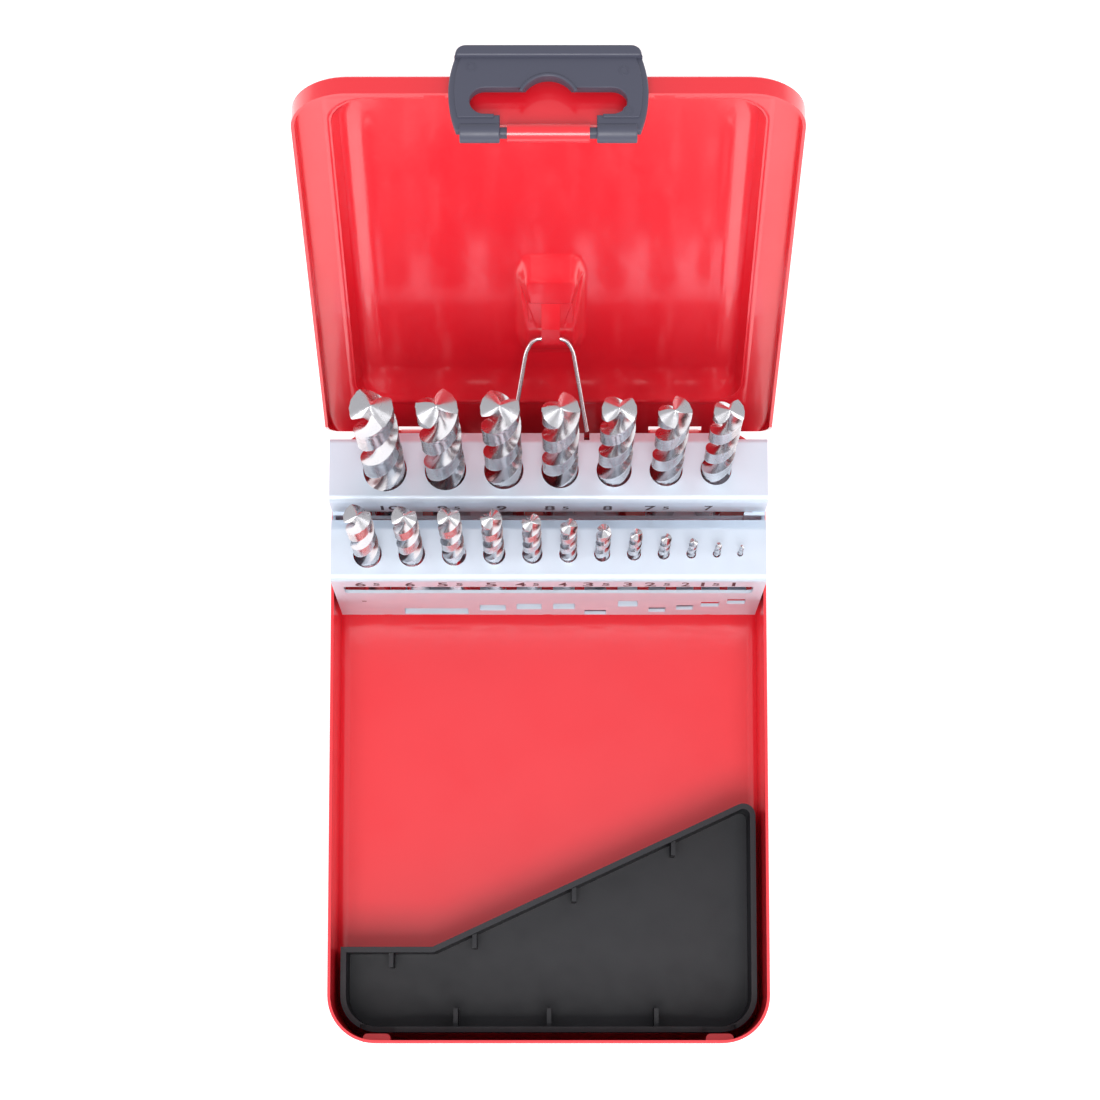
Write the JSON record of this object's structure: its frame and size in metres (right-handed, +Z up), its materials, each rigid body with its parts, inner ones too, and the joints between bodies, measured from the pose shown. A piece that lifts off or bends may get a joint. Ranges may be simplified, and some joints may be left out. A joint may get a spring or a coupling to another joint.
{
  "type": "drill bit case",
  "caption": "Hinged sheet-steel case for twist drills: opening the lid stands up a two-row holder linked to it by a wire; flip latch, hanging slot and open tray.",
  "frame": {"origin": "centre of the base's underside", "axes": "+X to the right seen from the front, +Y from the front to the back, +Z up; the case stands open"},
  "size_m": [0.109, 0.2041, 0.1845],
  "materials": {
    "red_enamel": "gloss",
    "black_plastic": "satin",
    "zinc_plated_steel": "satin",
    "ground_tool_steel": "bright ground",
    "bright_wire": "bright",
    "rivet_steel": "satin"
  },
  "bodies": {
    "base": {"base_shell": "red_enamel", "tray_insert": "black_plastic"},
    "lid": {"lid_shell": "red_enamel"},
    "latch": {"latch_clip": "black_plastic"},
    "link": {"wire_link": "bright_wire"},
    "holder": {"rear_holder": "zinc_plated_steel", "front_holder": "zinc_plated_steel", "pivot_rivet_left": "rivet_steel", "pivot_rivet_right": "rivet_steel"},
    "drill_1": {"drill_1": "ground_tool_steel"},
    "drill_1_5": {"drill_1_5": "ground_tool_steel"},
    "drill_2": {"drill_2": "ground_tool_steel"},
    "drill_2_5": {"drill_2_5": "ground_tool_steel"},
    "drill_3": {"drill_3": "ground_tool_steel"},
    "drill_3_5": {"drill_3_5": "ground_tool_steel"},
    "drill_4": {"drill_4": "ground_tool_steel"},
    "drill_4_5": {"drill_4_5": "ground_tool_steel"},
    "drill_5": {"drill_5": "ground_tool_steel"},
    "drill_5_5": {"drill_5_5": "ground_tool_steel"},
    "drill_6": {"drill_6": "ground_tool_steel"},
    "drill_6_5": {"drill_6_5": "ground_tool_steel"},
    "drill_7": {"drill_7": "ground_tool_steel"},
    "drill_7_5": {"drill_7_5": "ground_tool_steel"},
    "drill_8": {"drill_8": "ground_tool_steel"},
    "drill_8_5": {"drill_8_5": "ground_tool_steel"},
    "drill_9": {"drill_9": "ground_tool_steel"},
    "drill_9_5": {"drill_9_5": "ground_tool_steel"},
    "drill_10": {"drill_10": "ground_tool_steel"}
  },
  "joints": [
    {"name": "lid_hinge", "type": "hinge", "parent": "base", "child": "lid", "pos_m": [0, 0.0735, 0.0353], "axis": [-1, 0, 0], "range_deg": [-109.6, 0]},
    {"name": "holder_pivot", "type": "hinge", "parent": "base", "child": "holder", "pos_m": [0, 0.0467, 0.0165], "axis": [-1, 0, 0], "range_deg": [-92, 0]},
    {"name": "link_pivot", "type": "hinge", "parent": "lid", "child": "link", "pos_m": [0.0005, 0.08821, 0.08048], "axis": [-1, 0, 0], "range_deg": [0, 150]},
    {"name": "latch_hinge", "type": "hinge", "parent": "lid", "child": "latch", "pos_m": [0, 0.10943, 0.18242], "axis": [1, 0, 0], "range_deg": [0, 176]},
    {"name": "drill_1_slide", "type": "slide", "parent": "holder", "child": "drill_1", "axis": [0, 0.0349, 0.9994], "range_m": [0, 0.02526]},
    {"name": "drill_1_5_slide", "type": "slide", "parent": "holder", "child": "drill_1_5", "axis": [0, 0.0349, 0.9994], "range_m": [0, 0.02926]},
    {"name": "drill_2_slide", "type": "slide", "parent": "holder", "child": "drill_2", "axis": [0, 0.0349, 0.9994], "range_m": [0, 0.03396]},
    {"name": "drill_2_5_slide", "type": "slide", "parent": "holder", "child": "drill_2_5", "axis": [0, 0.0349, 0.9994], "range_m": [0, 0.03726]},
    {"name": "drill_3_slide", "type": "slide", "parent": "holder", "child": "drill_3", "axis": [0, 0.0349, 0.9994], "range_m": [0, 0.03646]},
    {"name": "drill_3_5_slide", "type": "slide", "parent": "holder", "child": "drill_3_5", "axis": [0, 0.0349, 0.9994], "range_m": [0, 0.04106]},
    {"name": "drill_4_slide", "type": "slide", "parent": "holder", "child": "drill_4", "axis": [0, 0.0349, 0.9994], "range_m": [0, 0.04026]},
    {"name": "drill_4_5_slide", "type": "slide", "parent": "holder", "child": "drill_4_5", "axis": [0, 0.0349, 0.9994], "range_m": [0, 0.04056]},
    {"name": "drill_5_slide", "type": "slide", "parent": "holder", "child": "drill_5", "axis": [0, 0.0349, 0.9994], "range_m": [0, 0.04226]},
    {"name": "drill_5_5_slide", "type": "slide", "parent": "holder", "child": "drill_5_5", "axis": [0, 0.0349, 0.9994], "range_m": [0, 0.04726]},
    {"name": "drill_6_slide", "type": "slide", "parent": "holder", "child": "drill_6", "axis": [0, 0.0349, 0.9994], "range_m": [0, 0.04726]},
    {"name": "drill_6_5_slide", "type": "slide", "parent": "holder", "child": "drill_6_5", "axis": [0, 0.0349, 0.9994], "range_m": [0, 0.05486]},
    {"name": "drill_7_slide", "type": "slide", "parent": "holder", "child": "drill_7", "axis": [0, 0.0349, 0.9994], "range_m": [0, 0.04634]},
    {"name": "drill_7_5_slide", "type": "slide", "parent": "holder", "child": "drill_7_5", "axis": [0, 0.0349, 0.9994], "range_m": [0, 0.04634]},
    {"name": "drill_8_slide", "type": "slide", "parent": "holder", "child": "drill_8", "axis": [0, 0.0349, 0.9994], "range_m": [0, 0.05204]},
    {"name": "drill_8_5_slide", "type": "slide", "parent": "holder", "child": "drill_8_5", "axis": [0, 0.0349, 0.9994], "range_m": [0, 0.05204]},
    {"name": "drill_9_slide", "type": "slide", "parent": "holder", "child": "drill_9", "axis": [0, 0.0349, 0.9994], "range_m": [0, 0.05814]},
    {"name": "drill_9_5_slide", "type": "slide", "parent": "holder", "child": "drill_9_5", "axis": [0, 0.0349, 0.9994], "range_m": [0, 0.05814]},
    {"name": "drill_10_slide", "type": "slide", "parent": "holder", "child": "drill_10", "axis": [0, 0.0349, 0.9994], "range_m": [0, 0.06604]}
  ],
  "couplings": [
    {"joint": "holder_pivot", "follows": "lid_hinge", "ratio": 0.8394},
    {"joint": "link_pivot", "follows": "lid_hinge", "ratio": -1.3686}
  ]
}
